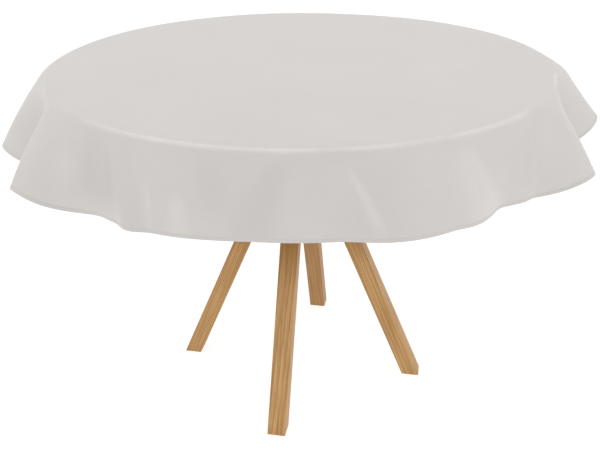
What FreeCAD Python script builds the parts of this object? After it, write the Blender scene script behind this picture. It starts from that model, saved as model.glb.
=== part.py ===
"""Round table on four splayed oak legs, dressed with a round coated tablecloth.

Millimetres, +Z up. The origin is on the floor, straight below the middle of the tabletop.
The cloth is a body of its own: it rests on the tabletop and lifts straight off.
"""

import FreeCAD
import Part
import math
import os

from FreeCAD import Vector

os.makedirs("parts", exist_ok=True)

# ---- driving dimensions -------------------------------------------------------------------

dressed_height = 760.0       # floor to the upper face of the cloth
cloth_diameter = 1400.0      # the cloth as cut
cloth_thickness = 1.2
cloth_shift = 15.0           # how far the cloth lies towards the back of the table
fold_radius = 527.1          # outer radius of the skirt where it hangs plumb
bend_radius = 6.0            # outer radius of its turn over the table edge, seen in section
resting_gap = 0.4            # between the cloth and the tabletop
hem_width = 8.0
hem_thickness = 2.0

top_radius = 522.5
top_thickness = 25.0
top_edge_round = 6.0

leg_turn = -10.7             # the leg cross is turned by this about the upright axis
leg_width = 40.0             # across the leg
leg_depth = 37.0             # through the leg, square to its slope
leg_lean = 23.25             # from upright
foot_radius = 277.0          # axis to the middle of a foot, on the floor
leg_edge_round = 1.5

post_width = 90.0
post_chamfer = 4.0
post_foot = 470.0            # height of the post's lower end
leg_tip_trim = 24.0          # taken off the feather edge where a leg meets the post

plate_side = 220.0
plate_thickness = 5.0
plate_corner = 12.0

glide_diameter = 22.0
glide_height = 2.0
glide_edge_round = 0.6
glide_nail_diameter = 3.0
glide_nail_length = 18.0

bolt_diameter = 8.0
bolt_heights = (500.0, 538.0)
bolt_seat = 14.0             # wood left between the washer and the post
bolt_reach = 30.0            # how deep the bolt goes into the post
bolt_head_diameter = 13.0
bolt_head_height = 8.0
socket_diameter = 7.0
socket_depth = 4.0
washer_diameter = 16.0
washer_thickness = 1.6
counterbore_diameter = 18.0
counterbore_length = 120.0   # enough to run out through the sloping face of a leg
clearance = 0.5              # on the diameter of a hole that a bolt passes through
insert_diameter = 12.0
insert_length = 16.0

plate_screw_diameter = 4.5
plate_screw_length = 18.0    # in the tabletop
plate_screw_pitch = 84.0     # from the middle of the plate, both ways
post_screw_diameter = 6.0
post_screw_length = 60.0     # in the post
post_screw_pitch = 24.0
pan_head_diameter = 9.0
pan_head_height = 3.0
sunk_head_diameter = 12.0
sunk_head_height = 3.5

batten_length = 700.0
batten_width = 50.0
batten_depth = 22.0
batten_chamfer = 3.0
batten_offset = 200.0        # middle of a batten from the middle of the table
batten_screw_stations = (-300.0, -100.0, 100.0, 300.0)
batten_screw_diameter = 4.5
batten_screw_length = 34.0
batten_head_diameter = 9.0
batten_head_height = 2.7

# ---- places worked out from them ----------------------------------------------------------

top_face = dressed_height - cloth_thickness - resting_gap
top_underside = top_face - top_thickness
plate_underside = top_underside - plate_thickness
leg_slope = math.tan(math.radians(leg_lean))
leg_span = leg_depth / math.cos(math.radians(leg_lean))      # the leg's level width
post_half = post_width / 2
leg_names = ("leg_right", "leg_back", "leg_left", "leg_front")
leg_angles = [leg_turn + 90 * i for i in range(4)]

# The folds that stand out from the table, one a row:
#   azimuth of the crest at the table edge, from +X turning towards +Y; flare from the plumb line;
#   widths over which it fades, before and after the crest, all in degrees;
#   how much wider the turn over the table edge is there, in mm;
#   how much more the fold droops towards its hem; how far round its hem leans, in degrees
folds = (
    (-148.3, 45.6, 6, 16, 9, 0.05, 7.2),
    (-127.3, 7.2, 14, 32, 3, 0, 5.1),
    (-126, 5.3, 4.2, 4, 0, 0, 0),
    (-66, 10, 18, 18.5, 0, 0, -3),
    (-53, 5.6, 7, 5.5, 0, 0, -2),
    (-39.5, 7, 8, 6, 0, 0, 0),
    (-30.5, 37.4, 9, 12, 22, 0.10, -1),
    (1.5, 39, 14, 29.5, 61, -0.11, -1.5),
    (33.5, 50, 27.5, 33.5, 107, 0, 0),
    (56.5, 40.5, 20.5, 18.5, 52, 0, 0),
    (102.5, 41, 15.5, 15.5, 6, 0, 0),
    (138, 41, 17, 15.5, 4, 0, 0),
    (190, 34, 30, 12, 14, 0.10, 1),
)
plumb_flare = 0.1            # the flare where no fold stands out
plumb_droop = 0.06
azimuth_steps = 180
bend_steps = 4
fall_steps = 3

UP = Vector(0, 0, 1)
AXIS = Vector(0, 0, 0)


# ---- helpers ------------------------------------------------------------------------------

def polar(radius, azimuth, z):
    turn = math.radians(azimuth)
    return Vector(radius * math.cos(turn), radius * math.sin(turn), z)


def rod(diameter, start, direction, length):
    return Part.makeCylinder(diameter / 2, length, start, direction)


def turned(shape, azimuth):
    copy = shape.copy()
    copy.rotate(AXIS, UP, azimuth)
    return copy


def ring_of(shape, azimuths):
    return [turned(shape, azimuth) for azimuth in azimuths]


def cut_all(shape, tools):
    for tool in tools:
        shape = shape.cut(tool)
    return shape


def solids(shapes):
    return [solid for shape in shapes for solid in shape.Solids]


def save(node, shapes):
    pieces = solids(shapes)
    shape = pieces[0] if len(pieces) == 1 else Part.makeCompound(pieces)
    if not shape.isValid() or any(piece.Volume <= 0 for piece in pieces):
        raise ValueError(node + " isn't a sound solid")
    shape.exportStep("parts/" + node + ".step")
    box = shape.BoundBox
    print("%-14s %2d solid(s) %10.0f mm3  x %7.1f %7.1f  y %7.1f %7.1f  z %6.1f %6.1f" % (
        node, len(pieces), shape.Volume, box.XMin, box.XMax, box.YMin, box.YMax, box.ZMin, box.ZMax))


# ---- the cloth ----------------------------------------------------------------------------

def fold_sum(azimuth, column):
    """One column of the folds, faded between their crests."""
    total = 0.0
    for fold in folds:
        middle, before, after = fold[0], fold[2], fold[3]
        off = (azimuth - middle + 180) % 360 - 180
        share = off / (before if off < 0 else after)
        if abs(share) < 1:
            total += fold[column] * (1 - share * share) ** 2
    return total


def overhang(azimuth):
    """Length of cloth from the start of the turn to the cut edge."""
    turn = math.radians(azimuth)
    across = cloth_shift * math.cos(turn)
    reach = cloth_shift * math.sin(turn) + math.sqrt((cloth_diameter / 2) ** 2 - across ** 2)
    return reach - (fold_radius - bend_radius)


def fold_angles(azimuth):
    """Flare at mid fall, and how much more it is at the turn and less at the hem, in radians."""
    flare = math.radians(plumb_flare + fold_sum(azimuth, 1))
    return flare, flare * (plumb_droop + fold_sum(azimuth, 5))


def turn_length(azimuth):
    """Radius of the turn over the table edge, and the length of cloth in it."""
    flare, droop = fold_angles(azimuth)
    radius = bend_radius + fold_sum(azimuth, 4)
    return radius, radius * (math.pi / 2 - flare - droop)


def cloth_point(azimuth, depth, travel):
    """A point depth below the outer face, at a distance over it past the start of the turn."""
    flare, droop = fold_angles(azimuth)
    bend, bend_length = turn_length(azimuth)
    fall_length = overhang(azimuth) - bend_length
    share = max(travel - bend_length, 0) / fall_length
    turned = min(travel, bend_length) / bend
    lean = flare + droop * (1 - share)                # mean angle of the fall down to here
    shrink = math.sin(droop * share) / (droop * share) if droop * share > 0 else 1.0
    fall = fall_length * share * shrink
    facing = turned + 2 * droop * share               # angle of the outward normal from upright
    radius = (fold_radius - bend_radius + bend * math.sin(turned) + fall * math.sin(lean)
              - depth * math.sin(facing))
    height = (dressed_height - bend * (1 - math.cos(turned)) - fall * math.cos(lean)
              - depth * math.cos(facing))
    return polar(radius, azimuth + fold_sum(azimuth, 6) * travel / overhang(azimuth), height)


def bend_point(azimuth, depth, share):
    """A point of the turn over the table edge."""
    return cloth_point(azimuth, depth, turn_length(azimuth)[1] * share)


def hang_point(azimuth, depth, short_of_hem, share=1.0):
    """A point of the fall below the turn, or of the hem, measured back from the cut edge."""
    turned = turn_length(azimuth)[1]
    travel = turned + (overhang(azimuth) - short_of_hem - turned) * share
    return cloth_point(azimuth, depth, travel)


def loop(point_at):
    """One smooth closed edge round the table."""
    points = [point_at(360.0 * i / azimuth_steps) for i in range(azimuth_steps)]
    curve = Part.BSplineCurve()
    curve.interpolate(Points=points, PeriodicFlag=True,
                      Parameters=[i / azimuth_steps for i in range(azimuth_steps + 1)])
    return curve.toShape()


def band(loops):
    return [Part.makeRuledSurface(a, b) for a, b in zip(loops, loops[1:])]


def closed(faces):
    shell = Part.makeShell(faces)
    shell.sewShape()
    solid = Part.makeSolid(Part.Shell(shell.Faces))
    if solid.Volume < 0:
        solid.reverse()
    return solid


def make_tablecloth():
    """The main panel down to the top of the hem: a thin dome, open below."""
    outer, inner = [], []
    for depth, loops in ((0.0, outer), (cloth_thickness, inner)):
        for step in range(bend_steps + 1):
            loops.append(loop(lambda az: bend_point(az, depth, step / bend_steps)))
        for step in range(1, fall_steps + 1):
            loops.append(loop(lambda az: hang_point(az, depth, hem_width, step / fall_steps)))
    faces = band(outer) + band(inner) + band([outer[-1], inner[-1]])
    faces += [Part.Face(Part.Wire(loops[0])) for loops in (outer, inner)]
    return closed(faces)


def make_hem():
    """The turned-up edge, twice as thick as the panel and flush with its outer face."""
    corners = ((0.0, hem_width), (0.0, 0.0), (hem_thickness, 0.0),
               (hem_thickness, hem_width), (cloth_thickness, hem_width))
    loops = [loop(lambda az: hang_point(az, depth, back)) for depth, back in corners]
    return closed(band(loops + loops[:1]))


# ---- the tabletop and what is fixed under it ------------------------------------------------

def pan_screw(diameter, length, head_diameter, head_height, seat):
    """A screw driven upwards, its head under the seat point."""
    head = rod(head_diameter, seat - UP * head_height, UP, head_height)
    return head.fuse(rod(diameter, seat, UP, length))


def sunk_screw(diameter, length, head_diameter, head_height, flush, direction):
    """A countersunk screw whose head is flush at the given point."""
    head = Part.makeCone(head_diameter / 2, diameter / 2, head_height, flush, direction)
    shank = rod(diameter, flush + direction * head_height, direction, length - head_height)
    return head.fuse(shank)


def grid(pitch):
    return [Vector(x, y, 0) for x in (-pitch, pitch) for y in (-pitch, pitch)]


def make_plate_screws():
    one = pan_screw(plate_screw_diameter, plate_thickness + plate_screw_length,
                    pan_head_diameter, pan_head_height, UP * plate_underside)
    return [turned(one.translated(place), leg_turn) for place in grid(plate_screw_pitch)]


def make_post_screws():
    one = sunk_screw(post_screw_diameter, plate_thickness + post_screw_length,
                     sunk_head_diameter, sunk_head_height, UP * top_underside, -UP)
    return [turned(one.translated(place), leg_turn) for place in grid(post_screw_pitch)]


def make_plate(fasteners):
    plate = Part.makeBox(plate_side, plate_side, plate_thickness,
                         Vector(-plate_side / 2, -plate_side / 2, plate_underside))
    corners = [edge for edge in plate.Edges if abs(edge.tangentAt(edge.FirstParameter).z) > 0.9]
    return cut_all(turned(plate.makeFillet(plate_corner, corners), leg_turn), fasteners)


def make_batten(side):
    box = Part.makeBox(batten_length, batten_width, batten_depth,
                       Vector(-batten_length / 2, side * batten_offset - batten_width / 2,
                              top_underside - batten_depth))
    low = [edge for edge in box.Edges if edge.BoundBox.ZMax < top_underside - batten_depth + 1]
    return turned(box.makeChamfer(batten_chamfer, low), leg_turn)


def make_batten_screws(side):
    one = sunk_screw(batten_screw_diameter, batten_screw_length, batten_head_diameter,
                     batten_head_height, UP * (top_underside - batten_depth), UP)
    places = [Vector(x, side * batten_offset, 0) for x in batten_screw_stations]
    return [turned(one.translated(place), leg_turn) for place in places]


def make_tabletop(fasteners):
    disc = Part.makeCylinder(top_radius, top_thickness, UP * top_underside)
    rims = [edge for edge in disc.Edges if edge.Closed]
    return cut_all(disc.makeFillet(top_edge_round, rims), fasteners)


# ---- the legs and the post they meet ---------------------------------------------------------

def leg_middle(z):
    return foot_radius - leg_slope * z


def leg_blank():
    """One leg along +X, from the top of its glide to its trimmed tip against the post."""
    inner_meets = (leg_middle(0) - leg_span / 2 - post_half) / leg_slope
    tip = (leg_middle(0) + leg_span / 2 - post_half) / leg_slope - leg_tip_trim
    outline = (
        (leg_middle(glide_height) + leg_span / 2, glide_height),
        (leg_middle(tip) + leg_span / 2, tip),
        (post_half, tip),
        (post_half, inner_meets),
        (leg_middle(glide_height) - leg_span / 2, glide_height),
    )
    corners = [Vector(x, -leg_width / 2, z) for x, z in outline]
    blank = Part.Face(Part.makePolygon(corners + corners[:1])).extrude(Vector(0, leg_width, 0))
    sloping = [edge for edge in blank.Edges
               if abs(edge.Vertexes[0].Z - edge.Vertexes[-1].Z) > 300]
    return blank.makeFillet(leg_edge_round, sloping)


def along_leg(z):
    """Where the bolt at height z starts: on the face of the post."""
    return Vector(post_half, 0, z)


OUT = Vector(1, 0, 0)


def make_bolt(z):
    """A socket-head bolt along -X, its head on the washer."""
    seat = along_leg(z) + OUT * (bolt_seat + washer_thickness)
    shank = rod(bolt_diameter, seat, -OUT, bolt_seat + washer_thickness + bolt_reach)
    head = rod(bolt_head_diameter, seat, OUT, bolt_head_height)
    socket = rod(socket_diameter, seat + OUT * (bolt_head_height - socket_depth), OUT, socket_depth)
    return head.fuse(shank).cut(socket)


def make_washer(z):
    seat = along_leg(z) + OUT * bolt_seat
    disc = rod(washer_diameter, seat, OUT, washer_thickness)
    return disc.cut(rod(bolt_diameter + clearance, seat, OUT, washer_thickness))


def make_insert(z):
    sleeve = rod(insert_diameter, along_leg(z), -OUT, insert_length)
    return sleeve.cut(rod(bolt_diameter, along_leg(z), -OUT, insert_length))


def leg_holes(z):
    seat = along_leg(z) + OUT * bolt_seat
    return [rod(bolt_diameter + clearance, along_leg(z), OUT, bolt_seat),
            rod(counterbore_diameter, seat, OUT, counterbore_length)]


def post_holes(z):
    return [rod(insert_diameter, along_leg(z), -OUT, insert_length),
            rod(bolt_diameter + clearance, along_leg(z), -OUT, bolt_reach + clearance)]


def make_post(post_screws):
    post = Part.makeBox(post_width, post_width, plate_underside - post_foot,
                        Vector(-post_half, -post_half, post_foot))
    low = [edge for edge in post.Edges if edge.BoundBox.ZMax < post_foot + 1]
    post = turned(post.makeChamfer(post_chamfer, low), leg_turn)
    for z in bolt_heights:
        for hole in post_holes(z):
            post = cut_all(post, ring_of(hole, leg_angles))
    return cut_all(post, post_screws)


def make_glide():
    """A nylon disc under the foot, with a hole for its nail."""
    foot = Vector(foot_radius, 0, 0)
    disc = rod(glide_diameter, foot, UP, glide_height)
    rim = [edge for edge in disc.Edges if edge.Closed and edge.BoundBox.ZMax < 1]
    return disc.makeFillet(glide_edge_round, rim)


def make_nail():
    start = Vector(foot_radius, 0, glide_height)
    return rod(glide_nail_diameter, start, UP, glide_nail_length)


# ---- the whole table --------------------------------------------------------------------------

plate_screws = make_plate_screws()
post_screws = make_post_screws()
batten_screws = [screw for side in (-1, 1) for screw in make_batten_screws(side)]
battens = {"batten_front": make_batten(-1), "batten_back": make_batten(1)}

leg = cut_all(leg_blank(), [make_nail()])
for height in bolt_heights:
    leg = cut_all(leg, leg_holes(height))

save("tabletop", [make_tabletop(plate_screws + batten_screws)])
for node, batten in battens.items():
    save(node, [cut_all(batten, batten_screws)])
save("batten_screws", batten_screws)
save("mount_plate", [make_plate(plate_screws + post_screws)])
save("plate_screws", plate_screws)
save("post_screws", post_screws)
save("post", [make_post(post_screws)])
for node, angle in zip(leg_names, leg_angles):
    save(node, [turned(leg, angle)])
for node, make in (("leg_bolts", make_bolt), ("leg_washers", make_washer),
                   ("leg_inserts", make_insert)):
    save(node, [piece for z in bolt_heights for piece in ring_of(make(z), leg_angles)])
save("foot_glides", ring_of(make_glide(), leg_angles))
save("glide_nails", ring_of(make_nail(), leg_angles))
save("tablecloth", [make_tablecloth()])
save("hem", [make_hem()])
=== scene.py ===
import math

import bpy
import numpy as np
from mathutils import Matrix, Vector


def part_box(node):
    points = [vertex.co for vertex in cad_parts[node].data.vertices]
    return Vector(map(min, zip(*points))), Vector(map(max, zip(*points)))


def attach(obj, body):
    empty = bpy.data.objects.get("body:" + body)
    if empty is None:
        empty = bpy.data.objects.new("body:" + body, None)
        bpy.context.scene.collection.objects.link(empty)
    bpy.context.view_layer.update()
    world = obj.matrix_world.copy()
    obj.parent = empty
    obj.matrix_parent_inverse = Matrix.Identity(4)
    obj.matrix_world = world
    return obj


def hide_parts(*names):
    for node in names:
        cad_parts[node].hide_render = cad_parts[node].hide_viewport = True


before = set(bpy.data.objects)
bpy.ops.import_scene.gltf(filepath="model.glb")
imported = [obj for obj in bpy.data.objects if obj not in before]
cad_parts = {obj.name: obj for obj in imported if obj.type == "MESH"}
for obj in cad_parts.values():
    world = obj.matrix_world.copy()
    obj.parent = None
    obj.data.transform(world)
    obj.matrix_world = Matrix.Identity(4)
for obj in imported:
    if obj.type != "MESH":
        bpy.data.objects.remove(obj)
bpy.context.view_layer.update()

# ---- the cloth, in metres and degrees --------------------------------------------------------

CLOTH_RADIUS = 0.700            # as cut
CLOTH_THICKNESS = 0.0008
CLOTH_SHIFT = 0.015             # how far its middle lies behind the middle of the table
FOLD_GAP = 0.0046               # from the board's edge to the face of a plumb skirt
BEND_RADIUS = 0.006             # of the turn over the edge, where the skirt hangs plumb
PLUMB_FLARE = 0.1
PLUMB_DROOP = 0.06

# The folds that stand out from the table, one a row:
#   azimuth of the crest at the table edge, counted from +X towards +Y; angle from the plumb line;
#   widths before and after the crest; how much wider the turn over the edge is there, in metres;
#   how much more the fold droops towards its hem; how far round its hem leans, in degrees
FLARE, WIDER_TURN, MORE_DROOP, LEAN = 1, 4, 5, 6
FOLDS = (
    (-148.3, 45.6, 6, 16, 0.009, 0.05, 7.2),
    (-127.3, 7.2, 14, 32, 0.003, 0, 5.1),
    (-126, 5.3, 4.2, 4, 0, 0, 0),
    (-66, 10, 18, 18.5, 0, 0, -3),
    (-53, 5.6, 7, 5.5, 0, 0, -2),
    (-39.5, 7, 8, 6, 0, 0, 0),
    (-30.5, 37.4, 9, 12, 0.022, 0.10, -1),
    (1.5, 39, 14, 29.5, 0.061, -0.11, -1.5),
    (33.5, 50, 27.5, 33.5, 0.107, 0, 0),
    (56.5, 40.5, 20.5, 18.5, 0.052, 0, 0),
    (102.5, 41, 15.5, 15.5, 0.006, 0, 0),
    (138, 41, 17, 15.5, 0.004, 0, 0),
    (190, 34, 30, 12, 0.014, 0.10, 1),
)

# Shallow creases in the skirt, and patches of painted light and painted shade on it, one a row:
#   azimuths at the table edge and at the hem; where it starts and ends as shares of the way down;
#   how far the cloth stands out at the crest (0: painted tone only); half width at its foot, in degrees;
#   how far the colour goes towards the painted-light colour there, or below 0 towards the painted-shade
#   colour
HEIGHT, PAINTED_TONE = 4, 6
CREASES = (
    (-84.0, -73.3, 0.18, 0.98, 0.0025, 2.8, 0.34),
    (-60.7, -47.0, 0.15, 1.00, 0.0020, 3.8, 0.12),
    (-60.5, -52.5, 0.12, 1.20, 0.0000, 8.0, 0.25),
    (-117.8, -122.1, 0.40, 1.20, 0.0006, 1.6, 0.20),
    (-112.0, -115.2, 0.50, 1.20, 0.0008, 4.6, 0.34),
    (-106.0, -107.0, 0.05, 0.85, 0.0000, 7.5, -0.22),
    (-92.5, -99.5, 0.05, 1.10, -0.0010, 8.5, -0.40),
    (-130.5, -133.0, 0.00, 0.92, -0.0006, 9.5, -0.30),
    (-133.2, -135.4, 0.15, 0.80, -0.0004, 1.8, -0.12),
    (-126.8, -131.0, 0.10, 0.85, -0.0004, 2.8, -0.28),
    (-139.5, -139.0, 0.30, 1.30, 0.0000, 9.0, 0.34),
    (-36.5, -36.0, 0.15, 1.30, 0.0000, 7.0, 0.22),
    (-39.4, -39.4, 0.10, 1.30, 0.0000, 2.2, 0.06),
    (-126.0, -126.4, 0.05, 1.05, 0.0000, 2.4, -0.20),
)
HEIGHT_ONSET = 0.4              # share of the fall over which a crease rises, and sinks again
TONE_ONSET = 0.2                # the same for its painted light and shade
SLACK_FLARE = 38                # a fold that stands out further gets no painted highlight along the edge
SLACK_REACH = 6                 # nor within this many degrees of it

COLUMNS = 720
DISC_START = 0.03               # radius of the innermost ring
DISC_ROWS = 16
BEND_ROWS = 16
FALL_ROWS = 34
BEND_SHARE = 0.26               # of the overhang, which holds the widest turn

# ---- the hem ---------------------------------------------------------------------------------

HEM_WIDTH = 0.008
HEM_HALF_THICKNESS = 0.0010
HEM_STEP = 0.00015              # how far its outer face stands out from the cloth
STITCH_INSET = 0.0062           # from the edge
STITCH_PITCH = 0.0036
STITCH_LENGTH = 0.0026
STITCH_RADIUS = 0.00028
STITCH_SIDES = 6

# ---- the camera ------------------------------------------------------------------------------

CAMERA_DISTANCE = 1.6926        # in front of the table's axis
CAMERA_HEIGHT = 1.2000
CAMERA_PITCH = 25.95            # below the horizon
CAMERA_ROLL = -0.27
LENS = 48.48
SENSOR = 36.0

# ---- what the frame says ---------------------------------------------------------------------

cloth_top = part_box("tablecloth")[1][2]
board_low, board_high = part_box("tabletop")
FOLD_RADIUS = (board_high[0] - board_low[0]) / 2 + FOLD_GAP
START_RADIUS = FOLD_RADIUS - BEND_RADIUS


# ---- meshes ----------------------------------------------------------------------------------

def new_object(name, data):
    made = bpy.data.objects.new(name, data)
    bpy.context.scene.collection.objects.link(made)
    return made


def smooth_mesh(name, vertices, faces, cloth_places=None):
    """An object; cloth_places says where each vertex is on the flat cloth, for the weave."""
    mesh = bpy.data.meshes.new(name)
    mesh.from_pydata(np.asarray(vertices).tolist(), [], faces)
    mesh.update()
    mesh.polygons.foreach_set("use_smooth", [True] * len(mesh.polygons))
    if cloth_places is not None:
        flat = mesh.attributes.new("flat", "FLOAT_VECTOR", "POINT")
        flat.data.foreach_set("vector", np.asarray(cloth_places, dtype=float).ravel())
    return new_object(name, mesh)


def paint(piece, name, values):
    """A number for each vertex that the materials read."""
    piece.data.attributes.new(name, "FLOAT", "POINT").data.foreach_set("value", np.ravel(values))


def ring_faces(rings, per_ring, wrap_rings=False):
    """Quads between closed rings of vertices."""
    faces = []
    for i in range(rings if wrap_rings else rings - 1):
        low = i * per_ring
        high = (i + 1) % rings * per_ring
        for j in range(per_ring):
            k = (j + 1) % per_ring
            faces.append((low + j, high + j, high + k, low + k))
    return faces


# ---- the shape of the cloth ------------------------------------------------------------------

def around(azimuth, middle, before, after):
    """1 at the middle of a fold, fading to 0 at its two widths."""
    off = (azimuth - middle + 180) % 360 - 180
    share = off / np.where(off < 0, before, after)
    return np.where(np.abs(share) < 1, (1 - share ** 2) ** 2, 0)


def fold_sum(azimuth, column):
    return sum(fold[column] * around(azimuth, fold[0], fold[2], fold[3]) for fold in FOLDS)


def overhang(azimuth):
    """Length of cloth past the start of the bend."""
    turn = np.radians(azimuth)
    across = CLOTH_SHIFT * np.cos(turn)
    return CLOTH_SHIFT * np.sin(turn) + np.sqrt(CLOTH_RADIUS ** 2 - across ** 2) - START_RADIUS


def crease_sum(azimuth, share, column, onset):
    """One column of the creases; each fades in and out over a share of the fall, and widens."""
    total = np.zeros_like(azimuth + share)
    for crease in CREASES:
        top, hem, start, end, _, half_width, _ = crease
        middle = top + (hem - top) * share
        width = half_width * (0.35 + 0.65 * np.clip((share - start) / (1 - start), 0, 1))
        depth = np.clip((share - start) / onset, 0, 1) * np.clip((end - share) / onset, 0, 1)
        total = total + crease[column] * depth * around(azimuth, middle, width, width)
    return total


def pull_at(azimuth):
    """How tightly the cloth turns over the table edge, which sets where its highlight is painted: 1 where
    it hangs plumb, 0 by a fold.
    """
    nearby = range(-SLACK_REACH, SLACK_REACH + 1)
    slack = np.max([fold_sum(azimuth + off, FLARE) for off in nearby], axis=0)
    return np.clip(1 - slack / SLACK_FLARE, 0, 1)


def cloth_point(azimuth, travel):
    """The outer face of the cloth at a distance over it past the start of the bend."""
    flare = np.radians(PLUMB_FLARE + fold_sum(azimuth, FLARE))
    out = np.maximum(flare, 0)
    bend = BEND_RADIUS + fold_sum(azimuth, WIDER_TURN)
    droop = out * (PLUMB_DROOP + fold_sum(azimuth, MORE_DROOP))
    sweep = math.pi / 2 - flare - droop
    length = overhang(azimuth) - bend * sweep
    share = np.clip((travel - bend * sweep) / length, 0, 1)
    turned = np.clip(travel / bend, 0, sweep)
    lean = flare + droop * (1 - share)
    fall = length * share * np.sinc(droop * share / math.pi)
    radius = START_RADIUS + bend * np.sin(turned) + fall * np.sin(lean)
    height = cloth_top - bend * (1 - np.cos(turned)) - fall * np.cos(lean)
    down = travel / overhang(azimuth)
    radius = radius + crease_sum(azimuth, down, HEIGHT, HEIGHT_ONSET)
    turn = np.radians(azimuth + fold_sum(azimuth, LEAN) * down)
    return np.stack([radius * np.cos(turn), radius * np.sin(turn), height], -1)


def cloth_normal(azimuth, travel):
    """Unit normals out of the outer face."""
    step = 0.0005
    down = cloth_point(azimuth, travel) - cloth_point(azimuth, travel - step)
    turn = math.degrees(step / FOLD_RADIUS)
    along = cloth_point(azimuth + turn, travel) - cloth_point(azimuth - turn, travel)
    normal = np.cross(down, along)
    return normal / np.linalg.norm(normal, axis=-1, keepdims=True)


def flat_place(azimuth, radius):
    """Where a point is on the flat cloth, in metres from its middle."""
    turn = np.radians(azimuth)
    return np.stack([radius * np.cos(turn), radius * np.sin(turn) - CLOTH_SHIFT, 0 * radius], -1)


# ---- the pieces of the cloth -----------------------------------------------------------------

def make_panel():
    azimuth = np.arange(COLUMNS) * 360.0 / COLUMNS
    points = []
    places = []
    painted_light_and_shade = [np.zeros(DISC_ROWS * COLUMNS)]
    for radius in np.linspace(DISC_START, START_RADIUS, DISC_ROWS):
        place = flat_place(azimuth, np.full(COLUMNS, radius))
        places.append(place)
        points.append(place + np.array([0, CLOTH_SHIFT, cloth_top]))
    bend = np.linspace(0, BEND_SHARE, BEND_ROWS + 1)[1:]
    fall = np.linspace(BEND_SHARE, 1, FALL_ROWS + 1)[1:]
    inset = 0.5 * HEM_HALF_THICKNESS
    for share in np.concatenate([bend, fall]):
        travel = (overhang(azimuth) - inset) * share
        points.append(cloth_point(azimuth, travel))
        places.append(flat_place(azimuth, START_RADIUS + travel))
        # painted light and painted shade of the creases, for the material
        painted_light_and_shade.append(crease_sum(azimuth, share, PAINTED_TONE, TONE_ONSET))
    rings = len(points)
    middle = rings * COLUMNS
    vertices = np.concatenate(points + [[[0, 0, cloth_top]]])
    places = np.concatenate(places + [[[0, -CLOTH_SHIFT, 0]]])
    faces = ring_faces(rings, COLUMNS)
    faces += [(j, (j + 1) % COLUMNS, middle) for j in range(COLUMNS)]
    panel = smooth_mesh("cloth_panel", vertices, faces, places)
    # the mask of the painted highlight on the edge, and the painted light and shade of the creases
    paint(panel, "pull", np.append(np.tile(pull_at(azimuth), rings), 0.0))
    paint(panel, "painted_light_and_shade", np.append(np.concatenate(painted_light_and_shade), 0.0))
    solid = panel.modifiers.new("thickness", "SOLIDIFY")
    solid.thickness = CLOTH_THICKNESS
    solid.offset = -1.0
    return panel


def hem_section():
    """Distance from the cloth's edge and distance out of its middle, round the turned-up hem."""
    width, half = HEM_WIDTH, HEM_HALF_THICKNESS
    side = [(0.97 * width, 0.55 * half), (0.90 * width, 0.90 * half), (STITCH_INSET, 0.86 * half),
            (0.55 * width, half), (0.22 * width, half), (0.07 * width, 0.75 * half)]
    return side + [(0, 0)] + [(inset, -out) for inset, out in reversed(side)]


def hem_middle(azimuth, inset):
    """Points midway through the hem, and its normals; it's turned up on the inside."""
    normal = cloth_normal(azimuth, overhang(azimuth) - max(inset, 0.001))
    outer = cloth_point(azimuth, overhang(azimuth) - inset)
    return outer - normal * (HEM_HALF_THICKNESS - HEM_STEP), normal


def make_hem():
    azimuth = np.arange(COLUMNS) * 360.0 / COLUMNS
    rings = []
    places = []
    for inset, out in hem_section():
        middle, normal = hem_middle(azimuth, inset)
        rings.append(middle + normal * out)
        places.append(np.stack([np.radians(azimuth) * CLOTH_RADIUS, np.full(COLUMNS, inset),
                                np.full(COLUMNS, out)], -1))
    faces = ring_faces(len(rings), COLUMNS, wrap_rings=True)
    faces = [tuple(reversed(face)) for face in faces]
    return smooth_mesh("cloth_hem", np.concatenate(rings), faces, np.concatenate(places))


def stitch_places():
    """Azimuths that are one stitch apart along the hem."""
    azimuth = np.linspace(0, 360, 8 * COLUMNS + 1)
    line = cloth_point(azimuth, overhang(azimuth) - STITCH_INSET)
    steps = np.linalg.norm(np.diff(line, axis=0), axis=1)
    run = np.concatenate([[0], np.cumsum(steps)])
    count = round(run[-1] / STITCH_PITCH)
    return np.interp(np.arange(count) * run[-1] / count, run, azimuth)


def make_stitches():
    """One row of thread ends on each face of the hem, each stitch a small sunk bead."""
    middle, normal = hem_middle(stitch_places(), STITCH_INSET)
    along = np.roll(middle, -1, axis=0) - np.roll(middle, 1, axis=0)
    along /= np.linalg.norm(along, axis=1, keepdims=True)
    across = np.cross(normal, along)
    rings = ((-0.5, 0.15), (-0.36, 0.8), (0.0, 1.0), (0.36, 0.8), (0.5, 0.15))
    vertices = []
    faces = []
    for face_side in (1, -1):
        base = middle + normal * face_side * (0.86 * HEM_HALF_THICKNESS)
        for i in range(len(base)):
            first = len(vertices)
            for place, size in rings:
                for j in range(STITCH_SIDES):
                    turn = 2 * math.pi * j / STITCH_SIDES
                    out = normal[i] * math.sin(turn) + across[i] * math.cos(turn)
                    vertices.append(base[i] + along[i] * place * STITCH_LENGTH
                                    + out * size * STITCH_RADIUS)
            quads = ring_faces(len(rings), STITCH_SIDES)
            faces += [tuple(first + v for v in quad) for quad in quads]
            last = first + (len(rings) - 1) * STITCH_SIDES
            faces.append(tuple(first + j for j in range(STITCH_SIDES)))
            faces.append(tuple(last + j for j in reversed(range(STITCH_SIDES))))
    return smooth_mesh("hem_stitches", vertices, faces)


# ---- node helpers ----------------------------------------------------------------------------

def new_material(name):
    material = bpy.data.materials.new(name)
    material.use_nodes = True
    tree = material.node_tree
    return material, tree, tree.nodes["Principled BSDF"]


def node(tree, kind, inputs=None, **settings):
    """A shader node; inputs holds values or the sockets that feed it."""
    made = tree.nodes.new("ShaderNode" + kind)
    for key, value in settings.items():
        setattr(made, key, value)
    for key, value in (inputs or {}).items():
        if isinstance(value, bpy.types.NodeSocket):
            tree.links.new(value, made.inputs[key])
        else:
            made.inputs[key].default_value = value
    return made


def maths(tree, operation, first, second=0.0):
    return node(tree, "Math", {0: first, 1: second}, operation=operation).outputs[0]


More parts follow.
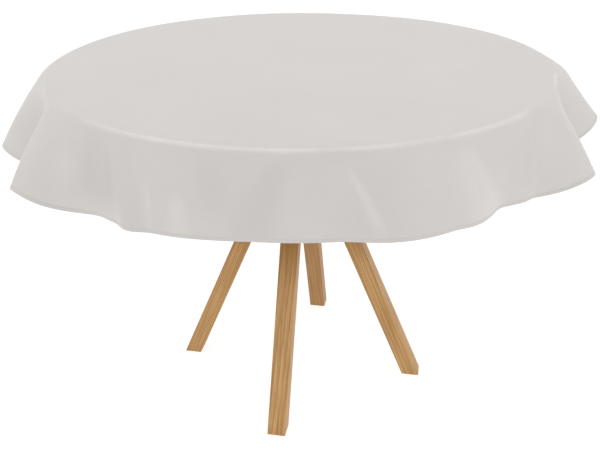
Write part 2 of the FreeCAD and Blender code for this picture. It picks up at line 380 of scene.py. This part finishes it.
def stretched(tree, vector, scale):
    return node(tree, "VectorMath", {0: vector, 1: scale}, operation="MULTIPLY").outputs[0]


def noise(tree, vector, scale, detail=3.0):
    made = node(tree, "TexNoise", {"Vector": vector, "Scale": scale, "Detail": detail})
    return made.outputs["Fac"]


def remap(tree, value, low, high, to_low, to_high):
    made = node(tree, "MapRange", {"Value": value, "From Min": low, "From Max": high,
                                   "To Min": to_low, "To Max": to_high})
    return made.outputs["Result"]


def mix_colour(tree, factor, first, second, blend="MIX"):
    made = node(tree, "Mix", data_type="RGBA", blend_type=blend)
    for socket, value in ((made.inputs[0], factor), (made.inputs[6], first), (made.inputs[7], second)):
        if isinstance(value, bpy.types.NodeSocket):
            tree.links.new(value, socket)
        else:
            socket.default_value = value
    return made.outputs[2]


def bump(tree, height, strength, distance, under=None):
    inputs = {"Height": height, "Strength": strength, "Distance": distance}
    if under is not None:
        inputs["Normal"] = under
    return node(tree, "Bump", inputs).outputs["Normal"]


def join(tree, socket, shader, name):
    tree.links.new(socket, shader.inputs[name])


# ---- cloth materials -------------------------------------------------------------------------

CLOTH_LIGHT = (0.592, 0.566, 0.546, 1)
CLOTH_DARK = (0.548, 0.522, 0.502, 1)
# painted light and painted shade: the colours the cloth is drawn towards for the painted highlight on the
# edge and for lit and shaded creases
CLOTH_PAINTED_LIGHT = (0.690, 0.662, 0.640, 1)
CLOTH_PAINTED_SHADE = (0.495, 0.470, 0.452, 1)
HEM_TONE = 0.99
THREAD_PALE = (0.66, 0.63, 0.60, 1)
THREAD_DARK = (0.50, 0.47, 0.44, 1)
HIGHLIGHT_OFFSET = 0.003              # of the painted highlight line past the start of the bend
HIGHLIGHT_WIDTH = 0.0090
THREAD_PITCH = 0.00065
WAVE_UNIT = math.pi / 10        # a Wave texture of scale 1 repeats in this length


def weave(tree, place, pitch):
    """Plain weave: warp and weft threads that pass over and under each other."""
    scale = WAVE_UNIT / (2 * pitch)
    warp = node(tree, "TexWave", {"Vector": place, "Scale": scale}, bands_direction="X")
    weft = node(tree, "TexWave", {"Vector": place, "Scale": scale}, bands_direction="Y")
    difference = maths(tree, "SUBTRACT", warp.outputs["Fac"], weft.outputs["Fac"])
    return maths(tree, "ABSOLUTE", difference)


def edge_line(tree, place):
    """1 along the line where the cloth turns over the table edge, 0 a few millimetres away: where the
    highlight is painted.
    """
    centred = node(tree, "VectorMath", {0: place, 1: (0, CLOTH_SHIFT, 0)}, operation="ADD").outputs[0]
    radius = node(tree, "VectorMath", {0: centred}, operation="LENGTH").outputs["Value"]
    off = maths(tree, "ABSOLUTE", maths(tree, "SUBTRACT", radius, START_RADIUS + HIGHLIGHT_OFFSET))
    line = node(tree, "MapRange", {"Value": off, "From Min": 0.0, "From Max": HIGHLIGHT_WIDTH,
                                   "To Min": 1.0, "To Max": 0.0}, interpolation_type="SMOOTHSTEP")
    return line.outputs["Result"]


def cloth_material(name, tone=1.0, pucker=False):
    material, tree, shader = new_material(name)
    place = node(tree, "Attribute", attribute_name="flat").outputs["Vector"]
    threads = weave(tree, place, THREAD_PITCH)
    slubs_along = noise(tree, stretched(tree, place, (30, 1400, 1)), 1.0, 2.0)
    slubs_across = noise(tree, stretched(tree, place, (1400, 30, 1)), 1.0, 2.0)
    slubs = maths(tree, "MULTIPLY", maths(tree, "ADD", slubs_along, slubs_across), 0.5)
    cloudy = noise(tree, place, 5.0, 4.0)
    shade = maths(tree, "ADD", maths(tree, "MULTIPLY", slubs, 0.5), maths(tree, "MULTIPLY", cloudy, 0.5))
    shade = remap(tree, shade, 0.35, 0.65, 0.0, 1.0)
    light = tuple(c * tone for c in CLOTH_LIGHT[:3]) + (1,)
    dark = tuple(c * tone for c in CLOTH_DARK[:3]) + (1,)
    colour = mix_colour(tree, shade, dark, light)
    # painted highlight along the turn over the table edge, broken up by noise; with the creases' painted
    # light it lightens the cloth
    pull = node(tree, "Attribute", attribute_name="pull").outputs["Fac"]
    patchy = remap(tree, noise(tree, place, 9.0, 2.0), 0.35, 0.65, 0.35, 1.0)
    painted_highlight = maths(tree, "MULTIPLY", maths(tree, "MULTIPLY", edge_line(tree, place), pull), patchy)
    painted_light_and_shade = node(tree, "Attribute", attribute_name="painted_light_and_shade").outputs["Fac"]
    colour = mix_colour(tree, maths(tree, "MAXIMUM", painted_highlight, painted_light_and_shade), colour, CLOTH_PAINTED_LIGHT)
    # painted shade where the crease tone is below 0
    painted_cloth_shade = maths(tree, "MAXIMUM", maths(tree, "MULTIPLY", painted_light_and_shade, -1.0), 0.0)
    colour = mix_colour(tree, painted_cloth_shade, colour, CLOTH_PAINTED_SHADE)
    gap = remap(tree, threads, 0.0, 0.35, 0.90, 1.01)
    join(tree, mix_colour(tree, 1.0, colour, gap, "MULTIPLY"), shader, "Base Color")
    join(tree, remap(tree, cloudy, 0.3, 0.7, 0.46, 0.58), shader, "Roughness")
    normal = bump(tree, threads, 0.50, 0.00010)
    normal = bump(tree, slubs, 0.30, 0.00012, normal)
    normal = bump(tree, noise(tree, place, 14.0, 2.0), 0.22, 0.0010, normal)
    if pucker:
        gathers = node(tree, "TexWave", {"Vector": place, "Scale": WAVE_UNIT / STITCH_PITCH,
                                         "Distortion": 0.6}, bands_direction="X").outputs["Fac"]
        normal = bump(tree, gathers, 0.5, 0.0003, normal)
    join(tree, normal, shader, "Normal")
    shader.inputs["Sheen Weight"].default_value = 0.15
    shader.inputs["Sheen Roughness"].default_value = 0.4
    shader.inputs["Specular IOR Level"].default_value = 0.35
    return material


def thread_material():
    material, tree, shader = new_material("sewing_thread")
    place = node(tree, "TexCoord").outputs["Object"]
    twist = node(tree, "TexWave", {"Vector": place, "Scale": 500.0, "Distortion": 1.0},
                 bands_direction="DIAGONAL").outputs["Fac"]
    lint = noise(tree, place, 900.0)
    colour = mix_colour(tree, maths(tree, "MULTIPLY", twist, lint), THREAD_DARK, THREAD_PALE)
    join(tree, colour, shader, "Base Color")
    join(tree, remap(tree, lint, 0.3, 0.7, 0.45, 0.6), shader, "Roughness")
    join(tree, bump(tree, twist, 0.6, 0.0001), shader, "Normal")
    return material


# ---- wood, metal and plastic -----------------------------------------------------------------

OAK_PALE = (0.680, 0.425, 0.185, 1)
OAK_MID = (0.520, 0.300, 0.108, 1)
OAK_DARK = (0.290, 0.135, 0.030, 1)
# the colour of the painted shade high on the legs
OAK_PAINTED_SHADE = (0.270, 0.112, 0.010, 1)
RING_SPACING = 0.0042
PITH = (0.31, 0.16, 0.0)        # the heart of the trunk that every leg was sawn from
LEG_SHADE_FROM = 0.30             # painted shade: the legs are drawn darker up under the cloth, where it shades them
LEG_SHADE_TO = 0.39
LEG_SHADE_SHARE = 0.62
# how far up the foot the scuffs and the painted contact shadow reach
SCUFF_AND_SHADOW_HEIGHT = 0.03


def oak(name, azimuth=0.0, lean=0.0, seed=0.0, depth=0.0):
    """Oak with its grain along a leg at this azimuth that leans inwards by this angle."""
    material, tree, shader = new_material(name)
    place = node(tree, "TexCoord").outputs["Object"]
    level = node(tree, "VectorRotate", {"Vector": place, "Angle": -azimuth}, rotation_type="Z_AXIS")
    leg = node(tree, "VectorRotate", {"Vector": level.outputs[0], "Angle": lean}, rotation_type="Y_AXIS")
    spot = node(tree, "VectorMath", {0: leg.outputs[0], 1: (0.11 * seed, 0.07 * seed, 0.9 * seed)},
                operation="ADD").outputs[0]

    wander = noise(tree, stretched(tree, spot, (9, 9, 0.9)), 1.0, 2.0)
    fine_wander = noise(tree, stretched(tree, spot, (120, 120, 4)), 1.0, 2.0)
    from_pith = node(tree, "VectorMath", {0: spot, 1: PITH}, operation="SUBTRACT").outputs[0]
    far = node(tree, "VectorMath", {0: stretched(tree, from_pith, (1, 1, 0.012))}, operation="LENGTH")
    far = maths(tree, "ADD", far.outputs["Value"], maths(tree, "MULTIPLY", wander, 0.012))
    far = maths(tree, "ADD", far, maths(tree, "MULTIPLY", fine_wander, 0.0016))
    rings = maths(tree, "DIVIDE", far, RING_SPACING)
    late_wood = maths(tree, "POWER", maths(tree, "FRACT", rings), 2.5)
    year = node(tree, "TexWhiteNoise", {"W": maths(tree, "FLOOR", rings)}, noise_dimensions="1D")
    year = year.outputs["Value"]

    pore_noise = noise(tree, stretched(tree, spot, (1500, 1500, 45)), 1.0, 1.0)
    pores = remap(tree, pore_noise, 0.60, 0.72, 0.0, 1.0)
    fibre = noise(tree, stretched(tree, spot, (420, 420, 7)), 1.0, 3.0)
    streak = remap(tree, noise(tree, stretched(tree, spot, (70, 70, 2.2)), 1.0, 2.0), 0.35, 0.70, 0.0, 1.0)

    tone = maths(tree, "MULTIPLY", maths(tree, "ADD", streak, year), 0.5)
    colour = mix_colour(tree, tone, OAK_PALE, OAK_MID)
    colour = mix_colour(tree, maths(tree, "MULTIPLY", late_wood, 0.70), colour, OAK_DARK)
    colour = mix_colour(tree, remap(tree, fibre, 0.40, 0.64, 0.0, 0.58), colour, OAK_DARK)
    colour = mix_colour(tree, maths(tree, "MULTIPLY", pores, 0.45), colour, OAK_DARK)
    height = node(tree, "SeparateXYZ", {0: place}).outputs[2]
    # painted shade, darker up the leg towards the cloth
    painted_leg_shade = remap(tree, height, LEG_SHADE_FROM, LEG_SHADE_TO, 0.0, LEG_SHADE_SHARE)
    colour = mix_colour(tree, painted_leg_shade, colour, OAK_PAINTED_SHADE)
    # painted shade over the whole leg, as much as LEGS gives it
    colour = mix_colour(tree, depth, colour, OAK_DARK)
    # darker towards the floor: noisy scuffs and a painted contact shadow at the foot
    scuffs_and_shadow = remap(tree, height, 0.0, SCUFF_AND_SHADOW_HEIGHT, 0.50, 0.0)
    scuffs_and_shadow = maths(tree, "MULTIPLY", scuffs_and_shadow, noise(tree, place, 160.0))
    join(tree, mix_colour(tree, scuffs_and_shadow, colour, OAK_DARK), shader, "Base Color")

    join(tree, remap(tree, fibre, 0.3, 0.7, 0.42, 0.60), shader, "Roughness")
    normal = bump(tree, pores, -0.5, 0.0002)
    normal = bump(tree, fibre, 0.35, 0.0002, normal)
    normal = bump(tree, late_wood, 0.12, 0.0002, normal)
    join(tree, normal, shader, "Normal")
    shader.inputs["Specular IOR Level"].default_value = 0.4
    return material


def metal(name, light, dark, rough_low, rough_high, grain, metallic=1.0):
    """Plated or coated metal: a mottled colour, a grained skin and rubbed spots."""
    material, tree, shader = new_material(name)
    place = node(tree, "TexCoord").outputs["Object"]
    spangle = node(tree, "TexVoronoi", {"Vector": place, "Scale": grain}).outputs["Distance"]
    mottle = noise(tree, place, grain * 0.6, 4.0)
    blend = maths(tree, "MULTIPLY", maths(tree, "ADD", spangle, mottle), 0.6)
    join(tree, mix_colour(tree, blend, dark, light), shader, "Base Color")
    join(tree, remap(tree, mottle, 0.3, 0.7, rough_low, rough_high), shader, "Roughness")
    join(tree, bump(tree, blend, 0.25, 0.0001), shader, "Normal")
    shader.inputs["Metallic"].default_value = metallic
    return material


def nylon():
    material, tree, shader = new_material("glide_nylon")
    place = node(tree, "TexCoord").outputs["Object"]
    cloudy = noise(tree, place, 240.0, 3.0)
    scratches = noise(tree, stretched(tree, place, (900, 90, 300)), 1.0, 2.0)
    colour = mix_colour(tree, cloudy, (0.060, 0.032, 0.018, 1), (0.120, 0.066, 0.038, 1))
    join(tree, colour, shader, "Base Color")
    join(tree, remap(tree, scratches, 0.3, 0.7, 0.35, 0.60), shader, "Roughness")
    join(tree, bump(tree, scratches, 0.3, 0.0001), shader, "Normal")
    return material


# How much painted shade darkens each leg, most the back one, and where in the trunk its timber comes from
LEGS = {
    "leg_right": (0.0, 1.0),
    "leg_back": (0.62, 7.8),
    "leg_left": (0.16, 4.4),
    "leg_front": (0.02, 6.1),
}


def leg_angles(name):
    """Azimuth and inward lean of a leg, in radians, from where its two ends lie."""
    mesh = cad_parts[name].data
    places = np.array([tuple(v.co) for v in mesh.vertices])
    low, high = places[:, 2].min(), places[:, 2].max()
    foot = places[places[:, 2] < low + 0.001].mean(axis=0)
    near_top = places[places[:, 2] > high - 0.05].mean(axis=0)
    azimuth = math.atan2(foot[1], foot[0])
    lean = math.atan2(np.hypot(*foot[:2]) - np.hypot(*near_top[:2]), near_top[2] - foot[2])
    return azimuth, lean


def dress_node(name, material):
    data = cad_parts[name].data
    data.materials.clear()
    data.materials.append(material)


def dress_frame():
    """Give every CAD node that shows its finish."""
    for name, (depth, seed) in LEGS.items():
        azimuth, lean = leg_angles(name)
        dress_node(name, oak("oak_" + name, azimuth, lean, seed, depth))
    dress_node("post", oak("oak_post", 0.0, 0.0, 9.1))
    dress_node("tabletop", oak("oak_top", 0.0, math.pi / 2, 11.3))
    dress_node("batten_front", oak("oak_batten_front", 0.0, math.pi / 2, 13.7))
    dress_node("batten_back", oak("oak_batten_back", 0.0, math.pi / 2, 15.2))
    dress_node("mount_plate", metal("black_powder_coat", (0.035, 0.035, 0.037, 1), (0.018, 0.018, 0.019, 1),
                                    0.42, 0.62, 1400.0, metallic=0.0))
    zinc = metal("zinc_plate", (0.74, 0.75, 0.77, 1), (0.52, 0.53, 0.56, 1), 0.25, 0.45, 600.0)
    for name in ("batten_screws", "plate_screws", "post_screws", "leg_bolts", "leg_washers", "glide_nails"):
        dress_node(name, zinc)
    dress_node("leg_inserts", metal("brass_insert", (0.80, 0.60, 0.28, 1), (0.55, 0.38, 0.15, 1),
                                    0.25, 0.42, 700.0))
    dress_node("foot_glides", nylon())


# ---- floor, light, camera --------------------------------------------------------------------

FLOOR_HALF = 14.0
FLOOR_GLOW = 0.84               # the lit sweep of a white studio floor
FLOOR_SHADE = 0.30
WORLD_STRENGTH = 0.985
TABLE_MIDDLE = (0, 0, 0.7)      # what the softboxes point at


def make_floor():
    material, tree, shader = new_material("studio_floor")
    place = node(tree, "TexCoord").outputs["Object"]
    speckle = noise(tree, place, 40.0)
    join(tree, mix_colour(tree, speckle, (FLOOR_SHADE * 0.98,) * 3 + (1,), (FLOOR_SHADE,) * 3 + (1,)),
         shader, "Base Color")
    join(tree, remap(tree, speckle, 0.3, 0.7, 0.85, 0.95), shader, "Roughness")
    shader.inputs["Specular IOR Level"].default_value = 0.0
    shader.inputs["Emission Color"].default_value = (1, 1, 1, 1)
    shader.inputs["Emission Strength"].default_value = FLOOR_GLOW
    corners = [(x, y, 0) for x, y in ((-1, -1), (1, -1), (1, 1), (-1, 1))]
    floor = smooth_mesh("floor", np.array(corners) * FLOOR_HALF, [(0, 1, 2, 3)])
    floor.data.materials.append(material)


def make_world(strength):
    world = bpy.data.worlds.new("studio")
    world.use_nodes = True
    background = world.node_tree.nodes["Background"]
    background.inputs["Color"].default_value = (1, 1, 1, 1)
    background.inputs["Strength"].default_value = strength
    bpy.context.scene.world = world


def make_softbox(name, place, size, energy):
    data = bpy.data.lights.new(name, "AREA")
    data.shape = "DISK"
    data.size = size
    data.energy = energy
    lamp = new_object(name, data)
    lamp.location = place
    lamp.rotation_euler = (Vector(TABLE_MIDDLE) - Vector(place)).to_track_quat("-Z", "Y").to_euler()


def make_camera():
    data = bpy.data.cameras.new("camera")
    data.lens = LENS
    data.sensor_width = SENSOR
    data.clip_end = 60
    camera = new_object("camera", data)
    camera.location = (0, -CAMERA_DISTANCE, CAMERA_HEIGHT)
    camera.rotation_euler = (math.radians(90 - CAMERA_PITCH), 0, 0)
    camera.rotation_euler.rotate_axis("Z", math.radians(CAMERA_ROLL))
    bpy.context.scene.camera = camera


# ---- putting it together ---------------------------------------------------------------------

def make_tablecloth():
    panel = make_panel()
    hem = make_hem()
    stitches = make_stitches()
    panel.data.materials.append(cloth_material("coated_cloth"))
    hem.data.materials.append(cloth_material("coated_cloth_hem", HEM_TONE, pucker=True))
    stitches.data.materials.append(thread_material())
    for piece in (panel, hem, stitches):
        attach(piece, "cloth")
    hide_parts("tablecloth")
    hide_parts("hem")


make_camera()
make_tablecloth()
dress_frame()
make_floor()
make_world(WORLD_STRENGTH)
make_softbox("overhead", (0.0, 0.3, 3.6), size=3.2, energy=12)
make_softbox("right", (2.6, -1.3, 1.9), size=1.4, energy=7)
make_softbox("left", (-2.6, -0.9, 1.7), size=1.4, energy=6)
bpy.context.scene.view_settings.view_transform = "Standard"
